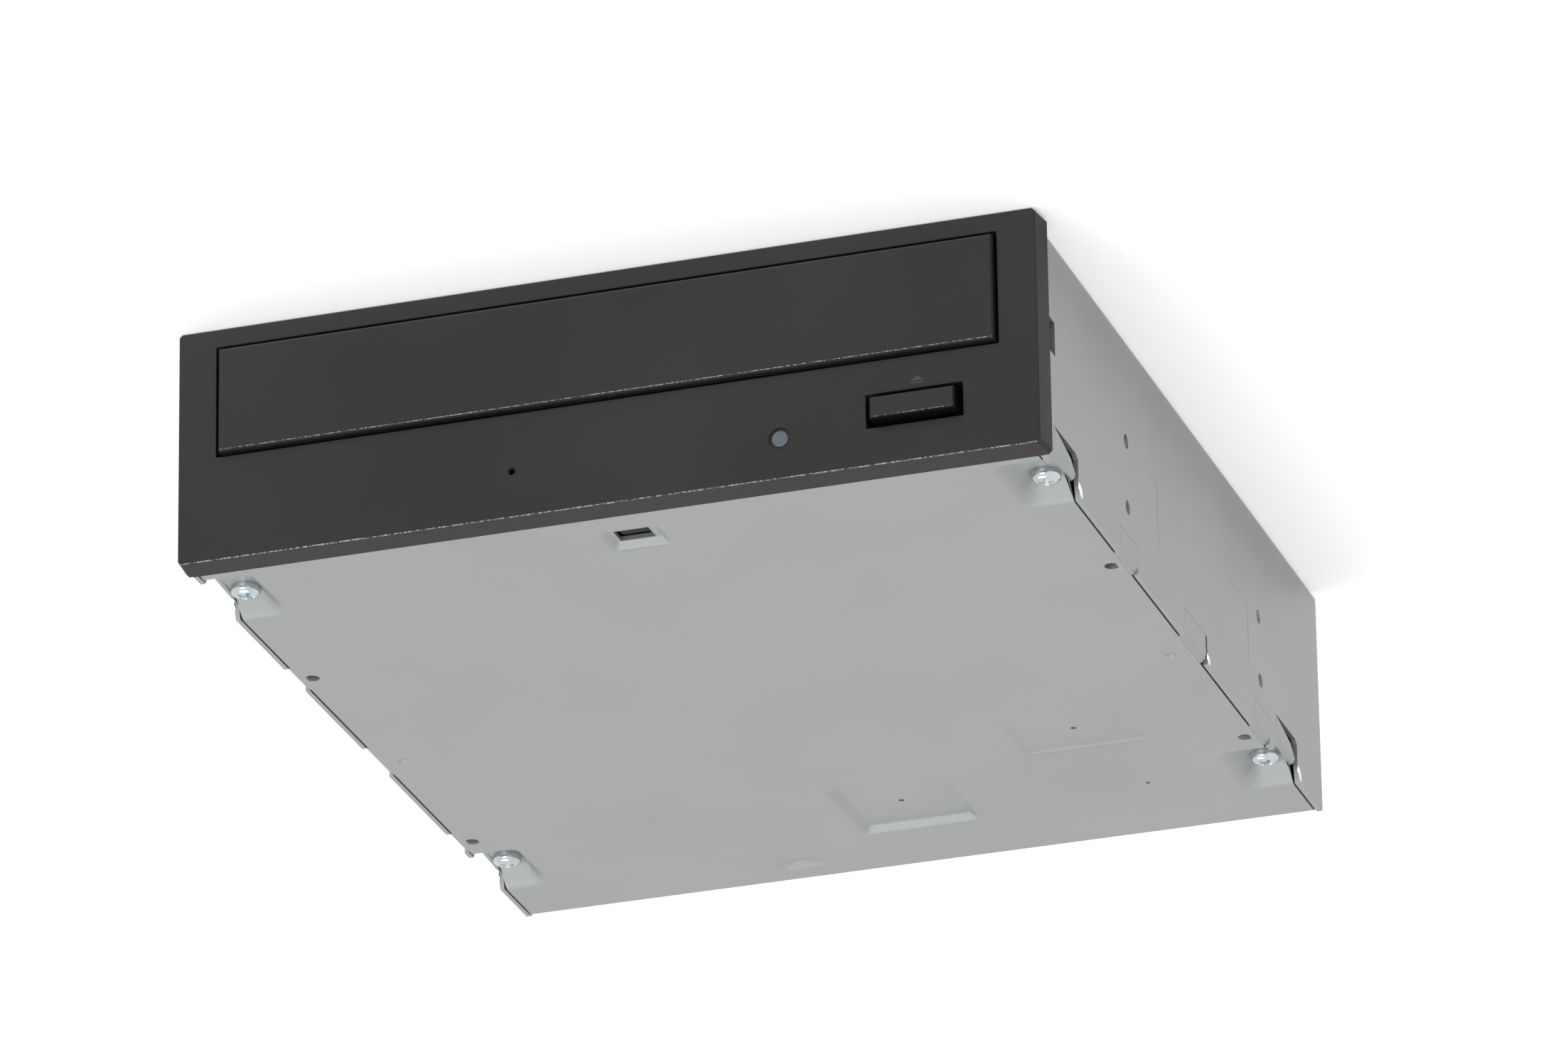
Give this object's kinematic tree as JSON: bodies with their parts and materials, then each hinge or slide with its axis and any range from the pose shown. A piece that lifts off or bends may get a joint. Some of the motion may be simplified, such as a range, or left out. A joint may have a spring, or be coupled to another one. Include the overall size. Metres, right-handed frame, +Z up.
{
  "type": "half-height optical disc drive",
  "caption": "Half-height tray-loading optical disc drive with steel case, charcoal bezel, working tray, tilting traverse and pickup.",
  "frame": {"origin": "middle of the bounding box at the case's underside", "axes": "+X to the right seen from the front, +Y to the rear along the case, +Z up"},
  "size_m": [0.1484, 0.1714, 0.0414],
  "materials": {
    "zinc_steel": "satin electro-galvanised sheet",
    "bright_screw": "bright zinc",
    "bezel_plastic": "fine charcoal texture",
    "door_plastic": "fine charcoal texture",
    "button_plastic": "fine charcoal texture",
    "lens_plastic": "frosted clear plastic",
    "frame_plastic": "moulded black",
    "tray_plastic": "moulded black, fine grain",
    "black_plastic": "moulded",
    "pale_plastic": "moulded ivory",
    "gear_plastic": "natural acetal",
    "rubber": "matt",
    "board": "solder mask",
    "chip": "moulded epoxy",
    "thermal_pad": "soft pad",
    "capacitor": "sleeved can",
    "gold": "plated",
    "motor_steel": "plated can",
    "winding": "enamelled copper on laminations",
    "polished_steel": "ground and polished",
    "magnet": "nickel-plated magnet",
    "die_cast": "die cast",
    "lens_glass": "coated"
  },
  "bodies": {
    "housing": {"bottom_plate": "zinc_steel", "top_cover": "zinc_steel", "case_screws": "bright_screw", "bezel": "bezel_plastic", "light_lens": "lens_plastic", "light_source": "lens_plastic", "front_board": "board", "eject_switch": "black_plastic", "main_frame": "frame_plastic", "clamp_bridge": "zinc_steel", "bridge_screws": "bright_screw", "tray_switch": "black_plastic", "load_motor": "motor_steel", "motor_screws": "bright_screw", "drive_belt": "rubber", "main_board": "board", "chips": "chip", "thermal_pads": "thermal_pad", "capacitors": "capacitor", "flex_sockets": "pale_plastic", "data_power_connector": "black_plastic", "connector_contacts": "gold", "board_screws": "bright_screw"},
    "tray": {"tray_front": "door_plastic", "disc_tray": "tray_plastic"},
    "drive_wheel": {"drive_gear": "gear_plastic"},
    "belt_wheel": {"belt_pulley": "gear_plastic"},
    "motor_wheel": {"motor_pulley": "gear_plastic"},
    "button": {"eject_button": "button_plastic", "switch_plunger": "pale_plastic"},
    "slider": {"cam_slider": "gear_plastic"},
    "traverse": {"lift_frame": "frame_plastic", "dampers": "rubber", "damper_screws": "bright_screw", "traverse_plate": "zinc_steel", "guide_rods": "polished_steel", "feed_motor": "motor_steel", "spindle_base": "motor_steel", "stator": "winding", "spindle_screws": "bright_screw"},
    "spindle": {"rotor": "motor_steel", "turntable": "tray_plastic", "friction_ring": "rubber"},
    "clamp": {"disc_clamp": "gear_plastic", "clamp_magnet": "magnet", "clamp_cap": "gear_plastic"},
    "sled": {"pickup_sled": "die_cast", "feed_nut": "gear_plastic", "actuator_yoke": "motor_steel", "actuator_magnets": "magnet"},
    "lens": {"lens_holder": "tray_plastic", "lenses": "lens_glass"},
    "screw": {"lead_screw": "polished_steel"}
  },
  "joints": [
    {"name": "tray_slide", "type": "slide", "parent": "housing", "child": "tray", "axis": [0, -1, 0], "range_m": [0, 0.13195]},
    {"name": "drive_wheel_spin", "type": "hinge", "parent": "housing", "child": "drive_wheel", "pos_m": [0.035, -0.05265, 0.0145], "axis": [0, 0, -1], "range_deg": [0, 1080.5]},
    {"name": "belt_wheel_spin", "type": "hinge", "parent": "housing", "child": "belt_wheel", "pos_m": [0.01615, -0.05631, 0.0145], "axis": [0, 0, 1], "range_deg": [0, 3240.5]},
    {"name": "motor_wheel_spin", "type": "hinge", "parent": "housing", "child": "motor_wheel", "pos_m": [-0.038, -0.05725, 0.0178], "axis": [0, 0, 1], "range_deg": [0, 12737.05]},
    {"name": "button_press", "type": "slide", "parent": "housing", "child": "button", "axis": [0, 1, 0], "range_m": [0, 0.0006], "stiffness_N_per_m": 600, "springref_m": -0.0004},
    {"name": "traverse_tilt", "type": "hinge", "parent": "housing", "child": "traverse", "pos_m": [0, 0.06875, 0.016], "axis": [1, 0, 0], "range_deg": [0, 4]},
    {"name": "slider_travel", "type": "slide", "parent": "housing", "child": "slider", "axis": [1, 0, 0], "range_m": [0, 0.01416]},
    {"name": "spindle_spin", "type": "hinge", "parent": "traverse", "child": "spindle", "pos_m": [0, -0.01325, 0.0322], "axis": [0, 0, 1], "continuous": true},
    {"name": "clamp_spin", "type": "hinge", "parent": "housing", "child": "clamp", "pos_m": [0, -0.01325, 0.0373], "axis": [0, 0, 1], "continuous": true},
    {"name": "sled_travel", "type": "slide", "parent": "traverse", "child": "sled", "axis": [0, 1, 0], "range_m": [0, 0.035]},
    {"name": "screw_spin", "type": "hinge", "parent": "traverse", "child": "screw", "pos_m": [0.0349, -0.02905, 0.0229], "axis": [0, 1, 0], "range_deg": [0, 4201]},
    {"name": "lens_focus", "type": "slide", "parent": "sled", "child": "lens", "axis": [0, 0, 1], "range_m": [-0.0004, 0.0004], "stiffness_N_per_m": 120}
  ],
  "couplings": [
    {"joint": "drive_wheel_spin", "follows": "tray_slide", "rad_per_m": 142.86},
    {"joint": "belt_wheel_spin", "follows": "tray_slide", "rad_per_m": 428.57},
    {"joint": "motor_wheel_spin", "follows": "tray_slide", "rad_per_m": 1684.7},
    {"joint": "slider_travel", "follows": "traverse_tilt", "m_per_rad": 0.20144},
    {"joint": "clamp_spin", "follows": "spindle_spin", "ratio": 1},
    {"joint": "screw_spin", "follows": "sled_travel", "rad_per_m": 2094.4}
  ]
}
